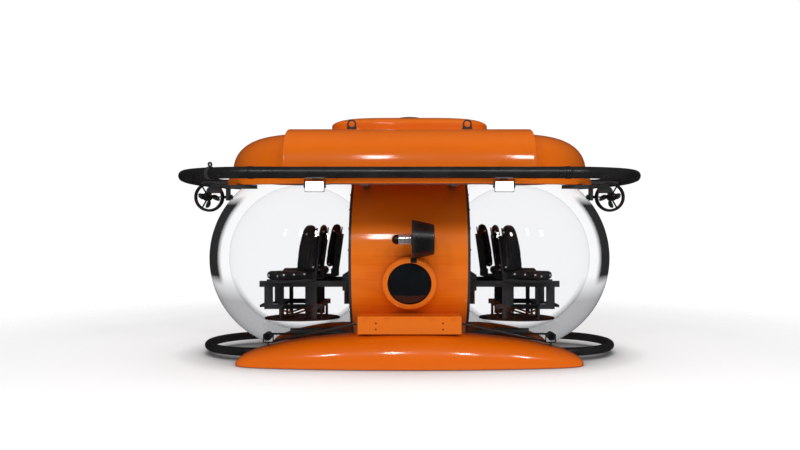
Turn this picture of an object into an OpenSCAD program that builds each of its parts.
// Twin-dome passenger submersible: a horizontal steel hull carries a clear
// acrylic sphere on each side, under a roof fairing with a bumper loop, on
// bow and stern pontoons. Millimetres, +Z up, the bow faces -Y, the origin is
// on the ground under the middle of the boat. "Left" means the -X side, and
// mirrored parts are drawn on the -X side, those on both ends at the bow.

/* [Pressure hull] */
// Outer radius of the central hull cylinder
hull_r = 860; // [850:1:866]
// Wall of the central hull cylinder
hull_wall = 25; // [20:1:30]
// Height of the hull and dome axis above the ground
axis_z = 1036; // [1034:1:1040]
// Radius of the opening between hull and dome
door_r = 505; // [490:1:510]

/* [Acrylic domes] */
// Outer radius of a dome
dome_r = 1000; // [998:1:1000]
// Inner radius of a dome
dome_inner_r = 770; // [768:1:800]

/* [Front viewport] */
// Angle of the viewport below the horizontal
port_tilt = 15; // [10:1:20]
// Radius of the viewport glass
port_r = 230; // [220:1:230]

/* [Entry hatch] */
// Inner radius of the hatch trunk
trunk_r = 285; // [270:1:285]
// Radius of the hatch handwheel
handwheel_r = 110; // [80:1:140]

/* [Roof and deck] */
// Half width of the deck rim
rim_half_w = 1914; // [1910:1:1930]
// Half length of the deck rim
rim_half_l = 1400; // [1390:1:1404]
// Top of the raised middle roof panel
roof_top = 2352; // [2345:1:2352]
// Half width of the middle roof panel
panel_half_w = 1197; // [1180:1:1197]

/* [Bumpers] */
// Radius of the upper bumper tube
bumper_r = 55; // [45:1:55]
// Height of the upper bumper centreline
bumper_z = 1880; // [1878:1:1890]
// Radius of the lower hoop tube
hoop_r = 45; // [38:1:46]

/* [Pontoons] */
// Half width of a pontoon
pontoon_half_w = 1737; // [1700:1:1760]
// Height of a pontoon at its middle
pontoon_h = 321; // [300:1:321]

/* [Hidden] */

ORANGE = [0.90, 0.40, 0.03];
BLACK = [0.06, 0.06, 0.07];
CUSHION = [0.09, 0.09, 0.1];
STEEL = [0.70, 0.71, 0.72];
GREY = [0.35, 0.36, 0.38];
BOTTLE = [0.2, 0.25, 0.3];
WEIGHT = [0.3, 0.3, 0.32];
CANISTER = [0.75, 0.77, 0.78];
WHITE = [0.97, 0.97, 0.97];
GLASS = [0.85, 0.93, 0.97, 0.35];
DARK_GLASS = [0.03, 0.04, 0.06, 0.9];
$fn = 96;

// ---------- helpers ----------
// cylinder along X between x0 and x1, on the line y, z
module cyl_x(r, x0, x1, y = 0, z = 0)
  translate([x0, y, z]) rotate([0, 90, 0]) cylinder(r = r, h = x1 - x0);
// cylinder along Y between y0 and y1, on the line x, z
module cyl_y(r, y0, y1, x = 0, z = 0)
  translate([x, y0, z]) rotate([-90, 0, 0]) cylinder(r = r, h = y1 - y0);
// box between two opposite corners
module box(low, high) translate(low) cube(high - low);
// round rod between two points
module rod(start, end, r) {
  span = end - start;
  length = norm(span);
  translate(start) rotate([0, acos(span.z / length), atan2(span.y, span.x)])
    cylinder(r = r, h = length);
}

// the other side only, both sides, both ends, all four corners
module flip_x() mirror([1, 0, 0]) children();
module pair() {
  children();
  flip_x() children();
}
module pair_y() {
  children();
  mirror([0, 1, 0]) children();
}
module four() pair() pair_y() children();

// extrusions of an outline standing upright, centred along Y or X
module extrude_y(length)
  rotate([90, 0, 0]) translate([0, 0, -length / 2]) linear_extrude(length) children();
module extrude_x(length)
  rotate([90, 0, 90]) translate([0, 0, -length / 2]) linear_extrude(length) children();

// superellipse outline as 96 points
function superellipse(half_x, half_y, power) = [for (i = [0 : 95]) let (t = 360 * i / 96) [
  half_x * sign(cos(t)) * pow(abs(cos(t)), 2 / power),
  half_y * sign(sin(t)) * pow(abs(sin(t)), 2 / power)]];
// half section of a parabolic crown, from its edge in to its middle
function crown(r, steps, height, drop) =
  [for (i = [steps : -1 : 0]) [r * i / steps, height - drop * pow(i / steps, 2)]];

// ---------- pressure hull ----------
face_x = 585;                 // hull flange face
end_wall = 45;                // thickness of the hull end walls
dome_x = 1180;                // dome centre
dome_cut = 601;               // plane on which a dome sits on its seal
seal_gap = 0.2;               // play on each face of a dome seal
clamp_x = 612;                // outer face of a dome clamp
clamp_bolt_y = 845;           // pitch radius of the clamp bolts
port_seat = 850;              // distance of the viewport seat from the hull axis
port_boss_top = 885;          // distance of the viewport boss face
port_boss_r = 275;
port_bolt_x = 255;            // pitch radius of the viewport bolts
bolt_r = 6;
bolt_hole_r = 6.5;
bolt_head_r = 9;
saddle_bolt_x = [-440 : 220 : 440];
saddle_bolt_z = 468;

// turns +Z outwards along the viewport axis, starting at a distance from the hull axis
module at_port(distance)
  translate([0, 0, axis_z]) rotate([90 + port_tilt, 0, 0]) translate([0, 0, distance])
    children();
module at_port_bolts(distance) at_port(distance)
  for (i = [0 : 11]) rotate([0, 0, 30 * i + 15]) translate([port_bolt_x, 0, 0]) children();
module at_clamp_bolts() translate([0, 0, axis_z])
  for (i = [0 : 23]) rotate([15 * i + 7.5, 0, 0]) translate([0, clamp_bolt_y, 0]) children();
// space taken by the hull, cut from the parts fitted around it
module hull_space() cyl_x(hull_r + 1, -700, 700, 0, axis_z);

module hull_shell() color(ORANGE) difference() {
  union() {
    cyl_x(hull_r, -face_x, face_x, 0, axis_z);
    at_port(780) cylinder(r = port_boss_r, h = port_boss_top - 780);
  }
  cyl_x(hull_r - hull_wall, -face_x + end_wall, face_x - end_wall, 0, axis_z);
  cyl_x(door_r, -face_x - 5, face_x + 5, 0, axis_z);
  at_port(700) cylinder(r = port_r - 19, h = 300);
  at_port(port_seat) cylinder(r = port_r + 12, h = 100);
  at_port_bolts(862) cylinder(r = bolt_hole_r, h = 60);
  translate([0, 0, axis_z + 500]) cylinder(r = trunk_r + 21, h = 600);
  pair() at_clamp_bolts() cyl_x(bolt_hole_r, -face_x - 5, -face_x + 30);
}

// thick sphere, cut flat where it meets the hull
module dome_solid() difference() {
  translate([-dome_x, 0, axis_z]) sphere(r = dome_r, $fn = 180);
  translate([-dome_x, 0, axis_z]) sphere(r = dome_inner_r, $fn = 180);
  box([-dome_cut, -1100, 0], [0, 1100, 2100]);
}
module dome_left() color(GLASS) dome_solid();
module dome_right() color(GLASS) flip_x() dome_solid();

// flat rings under the domes and a ring around the viewport glass
module window_seals() color(BLACK) {
  pair() translate([-dome_cut + seal_gap, 0, axis_z]) rotate([0, 90, 0]) difference() {
    cylinder(r = 800, h = dome_cut - face_x - 2 * seal_gap);
    translate([0, 0, -1]) cylinder(r = 515, h = 20);
  }
  at_port(port_seat + 1) difference() {
    cylinder(r = port_r + 11.5, h = 33);
    translate([0, 0, -1]) cylinder(r = port_r + 0.5, h = 40);
  }
}

// rings with a bevelled inner edge; outline columns: radius, distance out along X
module dome_clamps() color(BLACK) pair() difference() {
  translate([0, 0, axis_z]) rotate([0, -90, 0]) rotate_extrude()
    polygon([[807, face_x + 0.5], [818, dome_cut], [827, clamp_x],
      [hull_r - 2, clamp_x], [hull_r - 2, face_x + 0.5]]);
  at_clamp_bolts() cyl_x(bolt_hole_r, -650, -570);
}

module clamp_bolts() color(STEEL) pair() at_clamp_bolts() {
  cyl_x(bolt_r, -clamp_x - 0.2, -558);
  cyl_x(bolt_head_r, -clamp_x - 7, -clamp_x - 0.1, $fn = 6);
}

module viewport_glass() color(DARK_GLASS) at_port(port_seat + 1)
  rotate_extrude() polygon(concat([[0, 0], [port_r, 0]], crown(port_r, 10, 34, 16)));

module viewport_ring() color(ORANGE) difference() {
  at_port(port_boss_top + 0.5) rotate_extrude()
    polygon([[port_r - 10, 0], [270, 0], [270, 7], [263, 13.5],
      [port_r - 4, 13.5], [port_r - 10, 8]]);
  at_port_bolts(port_boss_top - 4.5) cylinder(r = bolt_hole_r, h = 30);
}

// bolts of the viewport ring and of the hull saddles
module hull_bolts() color(STEEL) {
  at_port_bolts(863) cylinder(r = bolt_r, h = 36.5);
  at_port_bolts(899.3) cylinder(r = bolt_head_r, h = 6, $fn = 6);
  pair_y() for (x = saddle_bolt_x) {
    cyl_y(9, -1010, -960, x, saddle_bolt_z);
    cyl_y(15, -1016, -1005.2, x, saddle_bolt_z, $fn = 6);
  }
}

// ---------- hatch ----------
trunk_foot = 1790;
trunk_top = 2452;
flange_z = trunk_top - 22;    // underside of the trunk flange
lid_z = 2458.5;               // underside of the lid
hinge_y = 400;                // hatch hinge axis
hinge_z = 2512;
hinge_pin_r = 12;
lug_t = 25;                   // thickness of a hinge lug
fairing_half_w = 828;
fairing_half_l = 660;

module hinge_bore() cyl_x(hinge_pin_r + 0.05, -200, 200, hinge_y, hinge_z);

module hatch_trunk() color(STEEL) difference() {
  union() {
    translate([0, 0, trunk_foot]) cylinder(r = trunk_r + 20, h = trunk_top - trunk_foot);
    translate([0, 0, flange_z]) cylinder(r = 345, h = trunk_top - flange_z);
    for (x = [-85, 60]) {
      box([x, 250, flange_z], [x + lug_t, 372, trunk_top]);
      box([x, 352, 2380], [x + lug_t, 428, 2500]);
      cyl_x(28, x, x + lug_t, hinge_y, hinge_z);
      box([x, hinge_y - 28, 2480], [x + lug_t, hinge_y + 28, hinge_z]);
    }
  }
  translate([0, 0, 1700]) cylinder(r = trunk_r, h = 900);
  hinge_bore();
}

// round seal, flattened above and below
module hatch_seal() color(BLACK) translate([0, 0, trunk_top + 3]) rotate_extrude()
  translate([trunk_r + 17, 0]) intersection() {
    circle(r = 6, $fn = 32);
    square([30, 5.6], center = true);
  }

// upright outline of the fairing: straight sides under a full arched top
function fairing_outline(half, inset) = concat([[-half, 2300]],
  [for (i = [0 : 24]) let (x = -half + 2 * half * i / 24)
    [x, 2436 - inset + 92 * pow(max(0, 1 - pow(abs(x / half), 4)), 0.55)]],
  [[half, 2300]]);
module fairing_body(inset) {
  half_w = fairing_half_w - inset;
  half_l = fairing_half_l - inset;
  intersection() {
    translate([0, 0, 2353]) linear_extrude(170) polygon(superellipse(half_w, half_l, 5));
    extrude_y(1600) polygon(fairing_outline(half_w, inset));
    extrude_x(1800) polygon(fairing_outline(half_l, inset));
  }
}
module hatch_fairing() color(ORANGE) difference() {
  fairing_body(0);
  // the hollow stops below the top
  difference() {
    fairing_body(12);
    box([-900, -700, 2500], [900, 700, 2600]);
  }
  translate([0, 0, 2300]) cylinder(r = 354, h = 300);
  // room for the hinge
  box([-140, 0, 2300], [140, 480, 2600]);
}

module hatch_lid() color(ORANGE) difference() {
  union() {
    translate([0, 0, lid_z]) rotate_extrude()
      polygon(concat([[0, 0], [346, 0]], crown(340, 8, 75, 24)));
    for (x = [-52, 27]) {
      box([x, 180, 2500], [x + lug_t, hinge_y, 2524]);
      cyl_x(24, x, x + lug_t, hinge_y, hinge_z);
    }
  }
  hinge_bore();
  translate([0, 0, 2440]) cylinder(r = 240, h = 50);
  translate([0, 0, 2400]) cylinder(r = 16.05, h = 200);
}

module hatch_hinge_pin() color(STEEL) {
  cyl_x(hinge_pin_r, -92, 92, hinge_y, hinge_z);
  for (x = [-98, 87]) cyl_x(17, x, x + 11, hinge_y, hinge_z);
}

// shaft, inner collar, hub, rim and three spokes
module hatch_handwheel() color(BLACK) {
  translate([0, 0, 2478]) cylinder(r = 16, h = 84);
  translate([0, 0, 2478]) cylinder(r = 30, h = 10);
  translate([0, 0, 2540]) cylinder(r = 28, h = 24);
  translate([0, 0, 2558]) rotate_extrude()
    translate([handwheel_r, 0]) circle(r = 11, $fn = 32);
  for (i = [0 : 2]) rotate([0, 0, 120 * i])
    translate([0, 0, 2554]) rotate([0, 90, 0]) cylinder(r = 8, h = handwheel_r);
}

// ---------- roof and deck ----------
rim_z0 = 1790;                // underside of the deck rim
rim_z1 = 1868;                // top of the deck rim
rim_power = 3.2;              // superellipse power of the rim and roof plans
roof_edge_z = 1925;           // where the roof edge starts to curve in
eye_x = -576;                 // centre of a lifting eye
eye_z = roof_top + 50;

module lifting_eyes() color(BLACK) four() difference() {
  union() {
    box([eye_x - 50, -895, roof_top + 1.5], [eye_x + 50, -845, roof_top + 12]);
    cyl_y(46, -879, -861, eye_x, eye_z);
    box([eye_x - 46, -879, roof_top + 1.5], [eye_x + 46, -861, eye_z]);
  }
  cyl_y(30, -900, -800, eye_x, eye_z);
}

// upright outline of the roof; each edge curves in over the length run
function roof_outline(half, run, top) =
  let (curve = [for (i = [0 : 20]) let (t = 90 * i / 20)
    [half - run * (1 - pow(cos(t), 2 / 2.4)),
      roof_edge_z + (top - roof_edge_z) * pow(sin(t), 2 / 2.4)]])
  concat([[-half, 1800]], [for (point = curve) [-point.x, point.y]],
    [for (i = [20 : -1 : 0]) curve[i]], [[half, 1800]]);
// solid roof: plan, front and side outlines meet in one block
module roof_body(half_w, half_l, top, inset) intersection() {
  translate([0, 0, rim_z1 + 1.5]) linear_extrude(600)
    polygon(superellipse(half_w - inset, half_l - inset, rim_power));
  extrude_y(3000) polygon(roof_outline(half_w - inset, 560, top - inset));
  extrude_x(4000) polygon(roof_outline(half_l - inset, 600, top - inset));
}
module panel_body(inset) intersection() {
  roof_body(2600, 1368, roof_top, inset);
  box([-panel_half_w + inset, -1500, 1800], [panel_half_w - inset, 1500, 2500]);
}
module shoulder_body(inset) roof_body(1862, 1338, roof_top - 26, inset);

module roof_center() color(ORANGE) difference() {
  panel_body(0);
  panel_body(16);
  translate([0, 0, 2000]) cylinder(r = 356, h = 500);
  // openings in the side walls into the shoulders
  pair() intersection() {
    shoulder_body(16);
    box([-1300, -1400, 1800], [-1100, 1400, 2500]);
  }
}
module shoulder() difference() {
  intersection() {
    shoulder_body(0);
    box([-2000, -1500, 1800], [-panel_half_w - 1.5, 1500, 2500]);
  }
  shoulder_body(14);
}
module roof_shoulder_left() color(ORANGE) shoulder();
module roof_shoulder_right() color(ORANGE) flip_x() shoulder();

module deck_rim() color(ORANGE) difference() {
  translate([0, 0, rim_z0]) linear_extrude(rim_z1 - rim_z0)
    polygon(superellipse(rim_half_w, rim_half_l, rim_power));
  translate([0, 0, rim_z0 - 5]) linear_extrude(100)
    polygon(superellipse(rim_half_w - 58, rim_half_l - 110, rim_power));
}

// beams under the roof, cut to clear the hull
module deck_frame() color(GREY) {
  beam_z0 = rim_z0 + 6;
  beam_z1 = rim_z1 - 6;
  difference() {
    union() {
      pair_y() box([-1440, -1040, beam_z0], [1440, -960, beam_z1]);
      four() box([-490, -1280, beam_z0], [-410, -380, beam_z1]);
      pair() box([-590, -1000, beam_z0], [-500, -950, beam_z1]);
    }
    hull_space();
  }
}

// ---------- bumper ----------
bumper_half_w = 2340;         // of the centreline
bumper_half_l = 1550;
corner_r = 800;               // corner radius of the centreline
corner_x = 1450;              // where the end straights stop and the corners start
corner_y = bumper_half_l - corner_r;
// each side is one large arc tangent to its two corners: centre, radius, half angle
side_arc_x = (corner_x * corner_x + corner_y * corner_y - pow(bumper_half_w - corner_r, 2))
  / (2 * (bumper_half_w - corner_r - corner_x));
side_arc_r = bumper_half_w + side_arc_x;
side_arc_angle = atan(corner_y / (corner_x + side_arc_x));
bracket_z0 = rim_z1 - 26;     // underside of the bumper brackets
flood_at = [-872, -1494, 1754]; // centre of the left floodlight

// the loop is moulded in eight tube sections that butt with hairline joints
module bumper_upper() color(BLACK) {
  pair_y() cyl_x(bumper_r, -corner_x + 0.3, corner_x - 0.3, -bumper_half_l, bumper_z);
  pair() {
    translate([side_arc_x, 0, bumper_z]) rotate([0, 0, 180 - side_arc_angle + 0.005])
      rotate_extrude(angle = 2 * side_arc_angle - 0.01, $fn = 720)
        translate([side_arc_r, 0]) circle(r = bumper_r, $fn = 48);
    pair_y() translate([-corner_x, -corner_y, bumper_z])
      rotate([0, 0, 180 + side_arc_angle + 0.02])
        rotate_extrude(angle = 90 - side_arc_angle - 0.04)
          translate([corner_r, 0]) circle(r = bumper_r, $fn = 48);
  }
}

module bumper_brackets() color(BLACK) {
  // bow and stern, in line with the floodlights
  four() difference() {
    box([flood_at.x - 45, -1560, bracket_z0], [flood_at.x + 45, -1373, rim_z1]);
    cyl_x(bumper_r + 0.5, flood_at.x - 60, flood_at.x + 60, -bumper_half_l, bumper_z);
  }
  // sides
  pair() difference() {
    box([-2335, -45, bracket_z0], [-rim_half_w - 3, 45, rim_z1]);
    cyl_y(bumper_r + 1.2, -60, 60, -bumper_half_w, bumper_z);
  }
  // mooring eye clamped on the bumper's left bow corner
  translate([-corner_x, -corner_y, bumper_z]) rotate([0, 0, -30])
    translate([0, -corner_r, 0]) difference() {
      union() {
        cyl_x(bumper_r + 6, -20, 20);
        cyl_x(24, -8, 8, 0, bumper_r + 26);
      }
      cyl_x(bumper_r + 0.5, -100, 100);
      cyl_x(13, -100, 100, 0, bumper_r + 26);
    }
}

// ---------- pontoons and skids ----------
pontoon_nose_y = -1195;       // furthest point of the bow pontoon
hoop_x = 1575;                // centre of a lower hoop's bend
hoop_y = 620;                 // half width of a lower hoop
hoop_z = 90;

// plan (x, y), front outline (x, z) and side outline (y, z) of the bow pontoon
pontoon_plan = concat(
  [for (i = [0 : 40]) let (u = -1 + 2 * i / 40)
    [pontoon_half_w * u,
      pontoon_nose_y + 175 * pow(abs(u), 2.2) + 90 * pow(abs(u), 24)]],
  [[pontoon_half_w, -800], [1560, -700], [-1560, -700], [-pontoon_half_w, -800]]);
pontoon_front = concat([[-pontoon_half_w, 0]],
  [for (i = [0 : 48]) let (u = -cos(180 * i / 48))
    [pontoon_half_w * u, 28 + (pontoon_h - 28) * pow(max(0, 1 - u * u), 0.56)]],
  [[pontoon_half_w, 0]]);
pontoon_side = concat([[-690, 0], [-1170, 0]],
  [for (i = [0 : 16]) let (t = 90 * i / 16)
    [pontoon_nose_y + 330 * (1 - pow(cos(t), 0.9)), 24 + (pontoon_h - 24) * pow(sin(t), 0.8)]],
  [[-690, pontoon_h]]);

module pontoon() intersection() {
  linear_extrude(400) polygon(pontoon_plan);
  rotate([90, 0, 0]) linear_extrude(1300) polygon(pontoon_front);
  extrude_x(3600) polygon(pontoon_side);
}
module bow_pontoon() color(ORANGE) pontoon();
module stern_pontoon() color(ORANGE) mirror([0, 1, 0]) pontoon();

// hollow blocks between pontoon and hull
module hull_saddles() color(ORANGE) pair_y() difference() {
  box([-510, -1005, pontoon_h + 2], [510, -500, 498]);
  hull_space();
  box([-480, -975, pontoon_h - 10], [480, -400, 470]);
  for (x = saddle_bolt_x) cyl_y(9.5, -1040, -940, x, saddle_bolt_z);
  for (x = [-330, 330], z = [370, 430]) cyl_y(8.5, -1040, -940, x, z);
}

// runners, their posts, long cross tubes and short cross beams
module skid_frame() color(GREY) {
  pair() box([-500, -698, 40], [-400, 698, 138]);
  four() box([-470, -670, 130], [-430, -620, 190]);
  pair_y() cyl_x(32, -1400, 1400, -650, 187);
  pair_y() box([-410, -400, 60], [410, -340, 120]);
}
module skid_pads() color(BLACK) four() box([-505, -560, 0], [-395, -440, 39]);

module lower_hoops() color(BLACK) pair() {
  pair_y() cyl_x(hoop_r, -hoop_x, -502, -hoop_y, hoop_z);
  translate([-hoop_x, 0, hoop_z]) rotate([0, 0, 90]) rotate_extrude(angle = 180)
    translate([hoop_y, 0]) circle(r = hoop_r, $fn = 48);
}

// cylinders at the stern on two feet each
module battery_pods() color(STEEL) pair() {
  pod_y = 1110;
  pod_z = 645;
  cyl_x(140, -500, -20, pod_y, pod_z);
  for (x = [-470, -90]) difference() {
    box([x, pod_y - 50, 500], [x + 40, pod_y + 50, 560]);
    cyl_x(138, -520, 0, pod_y, pod_z);
  }
}

// round-ended bottles with a neck at the inner end
module air_bottles() color(BOTTLE) four() {
  bottle_r = 90;
  bottle_y = -1000;
  bottle_z = 1955;
  cyl_x(bottle_r, -960, -240, bottle_y, bottle_z);
  for (x = [-960, -240]) translate([x, bottle_y, bottle_z]) sphere(r = bottle_r);
  cyl_x(22, -240, -110, bottle_y, bottle_z);
}

module drop_weight() color(WEIGHT) difference() {
  box([-385, -325, 15], [385, 325, 115]);
  for (x = [-200, 200]) translate([x, 0, 0]) cylinder(r = 30, h = 200);
}

// ---------- lights ----------
flood_pin_r = 8;
lamp_at = [-1406, -880, 292]; // centre of the left side lamp
lamp_pin_r = 7;
lamp_cable_r = 11;
lamp_cable_y = 140;           // cable run behind the lamp centre
// half section of a side lamp: radius, distance towards the bow; six cooling fins
lamp_profile = concat(
  [[0, -52], [24, -52], [30, -46]],
  [for (i = [0 : 5]) let (z = -40 + 12 * i)
    each [[30, z], [40, z], [40, z + 6], [30, z + 6]]],
  [[36, 34], [42, 40], [42, 60], [34, 60], [30, 52], [0, 52]]);

module flood_body() translate(flood_at) {
  difference() {
    cube([178, 62, 102], center = true);
    box([-84, -40, -46], [84, -25, 46]);
  }
  pair() cyl_x(flood_pin_r, -104, -88);
}
module flood_lens() translate(flood_at) box([-83, -30, -45], [83, -25.2, 45]);
module floodlight_left() color(BLACK) flood_body();
module floodlight_right() color(BLACK) flip_x() flood_body();
module floodlight_lens_left() color(WHITE) flood_lens();
module floodlight_lens_right() color(WHITE) flip_x() flood_lens();

// yoke over each floodlight, with a stem up to the bumper bracket
module floodlight_brackets() color(BLACK) pair() translate(flood_at) difference() {
  union() {
    for (x = [-99, 93]) box([x, -14, -14], [x + 6, 14, 68]);
    box([-99, -14, 62], [99, 40, 68]);
    box([-30, 20, 64], [30, 40, bracket_z0 - 1 - flood_at.z]);
  }
  cyl_x(flood_pin_r + 0.06, -120, 120);
}

module lamp_body() translate(lamp_at) {
  rotate([90, 0, 0]) rotate_extrude() polygon(lamp_profile);
  pair() cyl_x(lamp_pin_r, -53, -28);
}
module side_lamp_left() color(BLACK) lamp_body();
module side_lamp_right() color(BLACK) flip_x() lamp_body();

// yoke under each side lamp, its foot, and a stay to the hull saddle
module lamp_brackets() color(GREY) pair() difference() {
  translate(lamp_at) {
    for (x = [-52, 44]) box([x, -15, -70], [x + 8, 15, 15]);
    box([-52, -15, -70], [52, 15, -60]);
    box([-12, -12, -98], [12, 12, -66]);
    rod([48, 0, -56], [-520, -930, 420] - lamp_at, 12);
  }
  translate(lamp_at) cyl_x(lamp_pin_r + 0.06, -90, 90);
  box([-514, -1100, 300], [-400, -800, 520]);
}

// cable out of the back of each lamp, bent towards the middle, with an end plug
module lamp_cables() color(BLACK) pair() translate(lamp_at) {
  plug_x = -1000 - lamp_at.x;
  cyl_y(lamp_cable_r, 66, 90);
  translate([50, 90, 0]) rotate([0, 0, 90])
    rotate_extrude(angle = 90) translate([50, 0]) circle(r = lamp_cable_r, $fn = 32);
  cyl_x(lamp_cable_r, 50, plug_x, lamp_cable_y);
  cyl_x(16, plug_x, plug_x + 25, lamp_cable_y);
}

// ---------- thrusters ----------
thruster_at = [-1965, -1000, 1670]; // centre of the left side thruster
lateral_at = [0, -1080, 1255];      // centre of the bow thruster
shaft_r = 14;                       // arm that carries a side thruster
// half sections of the ducts: radius, distance along the duct axis
side_duct = [[121, -45], [131, -45], [143, -25], [145, 10], [139, 45], [131, 45],
  [118, 10], [118, -20]];
lateral_duct = [[180, 22], [190, 24], [193, 34], [148, 236], [143, 240], [134, 238],
  [128, 228], [168, 40]];

// duct and motor pod, axis along Y, pod towards -Y
module side_thruster() translate(thruster_at) {
  rotate([-90, 0, 0]) rotate_extrude() polygon(side_duct);
  cyl_y(40, -118, -24);
  translate([0, -118, 0]) sphere(r = 40);
  for (i = [0 : 2]) rotate([0, 120 * i + 90, 0]) box([-6, -44, 30], [6, -26, 124]);
  cyl_x(shaft_r, 138, 232);
  cyl_x(24, 212, 226);
}
module side_propeller() translate(thruster_at) {
  cyl_y(24, -23.9, 34);
  for (i = [0 : 3]) rotate([0, 90 * i, 0])
    translate([0, 8, 0]) rotate([0, 0, 32]) box([-24, -3, 0], [24, 3, 110]);
}
module thruster_left() color(BLACK) side_thruster();
module thruster_right() color(BLACK) flip_x() side_thruster();
module propeller_left() color(GREY) side_propeller();
module propeller_right() color(GREY) flip_x() side_propeller();

// hangers under the deck rim, with a short cylinder on their bow end
module thruster_mounts() color(GREY) pair() {
  y0 = thruster_at.y - 36;
  y1 = thruster_at.y + 36;
  z = thruster_at.z;
  difference() {
    union() {
      box([-1795, y0, z - 34], [-1762, y1, rim_z0 - 2]);
      box([-1795, y0, rim_z0 - 38], [-1500, y1, rim_z0 - 2]);
      box([-1800, y0 - 144, rim_z0 - 38], [-1762, y1, rim_z0 - 6]);
      cyl_x(42, -1895, -1800, y0 - 186, 1742);
      box([-1860, y0 - 194, 1760], [-1762, y0 - 134, rim_z0 - 6]);
    }
    cyl_x(shaft_r + 0.06, -1850, -1700, thruster_at.y, z);
  }
}

// lateral thruster, axis along X, duct narrowing towards +X, at the origin
module lateral_thruster() {
  rotate([0, 90, 0]) rotate_extrude() polygon(lateral_duct);
  // motor with three collars and a rounded end
  cyl_x(48, -125, 118);
  for (x = [-96, -60, -24]) cyl_x(54, x, x + 18);
  difference() {
    translate([-125, 0, 0]) sphere(r = 47);
    box([-124, -60, -60], [60, 60, 60]);
  }
  for (i = [0 : 2]) rotate([120 * i + 30, 0, 0]) box([60, -5, 40], [100, 5, 166]);
  // arms towards the hull
  box([-70, 30, -20], [-32, 243, 20]);
  box([10, -40, -226], [70, 216, -184]);
  box([40, -20, -190], [60, 20, -164]);
}
module lateral_propeller() {
  cyl_x(26, 119, 168);
  for (i = [0 : 3]) rotate([90 * i, 0, 0]) translate([146, 0, 0]) rotate([0, 0, 30])
    box([-3, -24, 0], [3, 24, 122]);
}
// turn 0 is the bow, 180 the stern
module at_lateral(turn) rotate([0, 0, turn]) translate(lateral_at) children();
// cuts away what would run into the hull or the viewport boss
module trim_hull() difference() {
  children();
  hull_space();
  at_port(700) cylinder(r = port_boss_r + 4, h = 212);
}
module thruster_bow() color(BLACK) trim_hull() at_lateral(0) lateral_thruster();
module thruster_stern() color(BLACK) trim_hull() at_lateral(180) lateral_thruster();
module propeller_bow() color(GREY) at_lateral(0) lateral_propeller();
module propeller_stern() color(GREY) at_lateral(180) lateral_propeller();

// ---------- cabin ----------
floor_z = 535;                // hull floor, top
stick_at = [360, -250, 1032]; // joystick pivot
// three seats a side: x, y of the back's foot, turn towards the bow
seat_places = [[-1100, -340, 38], [-1010, 30, 8], [-905, 395, -8]];
// legs of a bench side: x, width, foot height
bench_legs = [[-1530, 85, 512], [-1370, 40, 402], [-1105, 120, 405]];
// outline of a seat back: across, up
seat_back_outline = [[-148, 0], [148, 0], [158, 40], [158, 250], [132, 380], [104, 455],
  [62, 500], [-62, 500], [-104, 455], [-132, 380], [-158, 250], [-158, 40]];

// every seat in turn, facing -X in its own frame
module at_seats() pair() for (place = seat_places)
  translate([place[0], place[1], 0]) rotate([0, 0, place[2]]) children();
// frame of a reclined seat back
module recline() translate([0, 0, 902]) rotate([0, 8, 0]) children();

module seat_pans() color(CUSHION) at_seats() difference() {
  box([-400, -162, 832], [-52, 162, 912]);
  // notch in the front corner
  box([-420, -200, 0], [-370, -120, 2000]);
}
module seat_backs() color(CUSHION) at_seats() recline()
  translate([-45, 0, 0]) rotate([90, 0, 90]) linear_extrude(75) polygon(seat_back_outline);

module seat_frames() color(BLACK) {
  // tray, back plate, two headrest bars and riser of each seat
  at_seats() {
    box([-385, -140, 806], [20, 140, 828]);
    recline() {
      box([34, -140, -30], [48, 140, 380]);
      for (y = [-60, 40]) box([34, y, 370], [44, y + 20, 460]);
    }
    box([16, -120, 806], [50, 120, 896]);
  }
  // bench sides: top and bottom rails, legs, crossed rods, low runners
  four() {
    box([-1580, -370, 742], [-660, -330, 804]);
    box([-1520, -370, 512], [-920, -330, 562]);
    for (leg = bench_legs)
      box([leg[0], -370, leg[2]], [leg[0] + leg[1], -330, 750]);
    rod([-1345, -350, 500], [-1095, -350, 418], 10);
    rod([-1345, -350, 418], [-1095, -350, 500], 10);
    box([-1590, -200, 520], [-1380, -180, 545]);
  }
  pair() {
    // cross rails
    for (x = [-1430, -980]) box([x, -340, 742], [x + 50, 340, 782]);
    for (x = [-1400, -970]) box([x, -340, 520], [x + 40, 340, 560]);
    box([-1600, -230, 520], [-1575, 230, 545]);
    // locker closing the bench towards the hull
    box([-720, -340, 700], [-645, 340, 866]);
    box([-720, -150, 545], [-645, 150, 705]);
  }
}

module cabin_floors() color(GREY) {
  difference() {
    box([-530, -640, floor_z - 15], [530, 640, floor_z]);
    // cable pass-throughs behind the pilot seat
    for (x = [-100, 100]) translate([x, 500, 0]) cylinder(r = 20, h = 1000);
  }
  // round dome floors with four posts
  pair() {
    translate([-dome_x, 0, 385]) cylinder(r = 400, h = 12);
    for (x = [-1380, -950], y = [-255, 255])
      translate([x, y, 395]) cylinder(r = 14, h = 125);
  }
}

module pilot_seat() color(BLACK) {
  translate([0, 200, floor_z + 14]) cylinder(r = 35, h = 360);
  translate([0, 200, floor_z + 14]) cylinder(r = 110, h = 12);
  box([-200, 0, 905], [200, 400, 925]);
  box([-180, 402, 905], [180, 418, 1400]);
  box([-180, 395, 905], [180, 418, 925]);
}
module pilot_cushions() color(CUSHION) {
  box([-210, -20, 929], [210, 330, 999]);
  box([-200, 335, 1004], [200, 400, 1440]);
}

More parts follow.
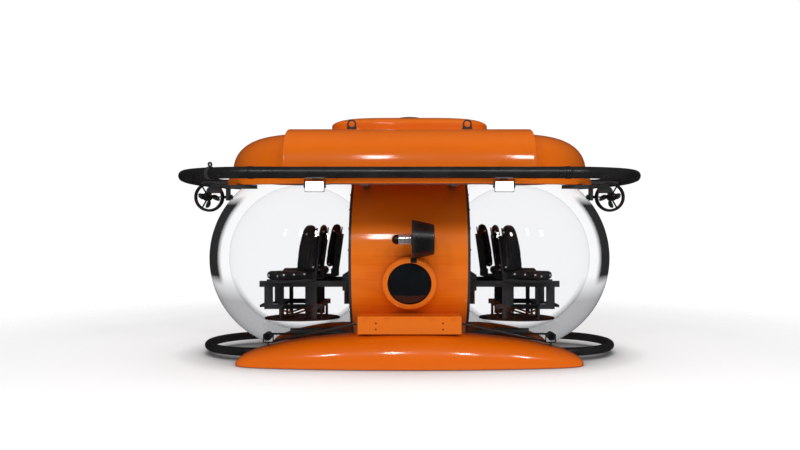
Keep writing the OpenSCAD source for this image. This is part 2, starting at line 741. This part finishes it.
module console() color(GREY) {
  // armrests on their posts
  pair() {
    box([-420, -420, 960], [-300, 60, 1000]);
    box([-400, -200, floor_z + 1], [-320, -60, 965]);
  }
  // joystick cup
  difference() {
    translate([stick_at.x, stick_at.y, 995]) cylinder(r = 44, h = 22);
    translate([stick_at.x, stick_at.y, 1005]) cylinder(r = 40, h = 30);
  }
  // raised box on the left armrest, low plate behind the joystick
  box([-400, -380, 995], [-320, -200, 1040]);
  box([stick_at.x - 50, -40, 995], [stick_at.x + 50, 40, 1012]);
}
module joystick_gimbal() color(STEEL) translate(stick_at) difference() {
  rotate([0, 90, 0]) cylinder(r = 24, h = 52, center = true);
  sphere(r = 14.5);
  cylinder(r = 13.5, h = 60);
  box([-20, -13.5, 3], [20, 13.5, 40]);
}
module joystick() color(BLACK) translate(stick_at) {
  sphere(r = 13);
  cylinder(r = 8, h = 60);
  translate([0, 0, 55]) cylinder(r1 = 15, r2 = 19, h = 70, $fn = 48);
  translate([0, 0, 125]) sphere(r = 19);
}

// two upright bottles and a box on feet, behind the pilot
module life_support() color(CANISTER) {
  pair() translate([-330, 540, floor_z]) {
    translate([0, 0, 40]) cylinder(r = 80, h = 480);
    translate([0, 0, 520]) sphere(r = 80);
    translate([0, 0, 590]) cylinder(r = 16, h = 50);
    translate([0, 0, 1]) cylinder(r = 85, h = 40);
  }
  box([-180, 560, floor_z + 90], [180, 690, 1060]);
  pair() box([-140, 560, floor_z + 1], [-100, 640, floor_z + 92]);
}

hull_shell();
dome_left();
dome_right();
window_seals();
dome_clamps();
clamp_bolts();
viewport_glass();
viewport_ring();
hull_bolts();
hatch_trunk();
hatch_seal();
hatch_fairing();
hatch_lid();
hatch_hinge_pin();
hatch_handwheel();
roof_center();
roof_shoulder_left();
roof_shoulder_right();
deck_rim();
deck_frame();
bumper_upper();
bumper_brackets();
lower_hoops();
bow_pontoon();
stern_pontoon();
hull_saddles();
skid_frame();
skid_pads();
battery_pods();
air_bottles();
drop_weight();
floodlight_left();
floodlight_right();
floodlight_lens_left();
floodlight_lens_right();
floodlight_brackets();
side_lamp_left();
side_lamp_right();
lamp_brackets();
lamp_cables();
thruster_mounts();
thruster_left();
thruster_right();
propeller_left();
propeller_right();
thruster_bow();
propeller_bow();
thruster_stern();
propeller_stern();
seat_frames();
seat_pans();
seat_backs();
cabin_floors();
pilot_seat();
pilot_cushions();
console();
joystick_gimbal();
joystick();
life_support();
lifting_eyes();
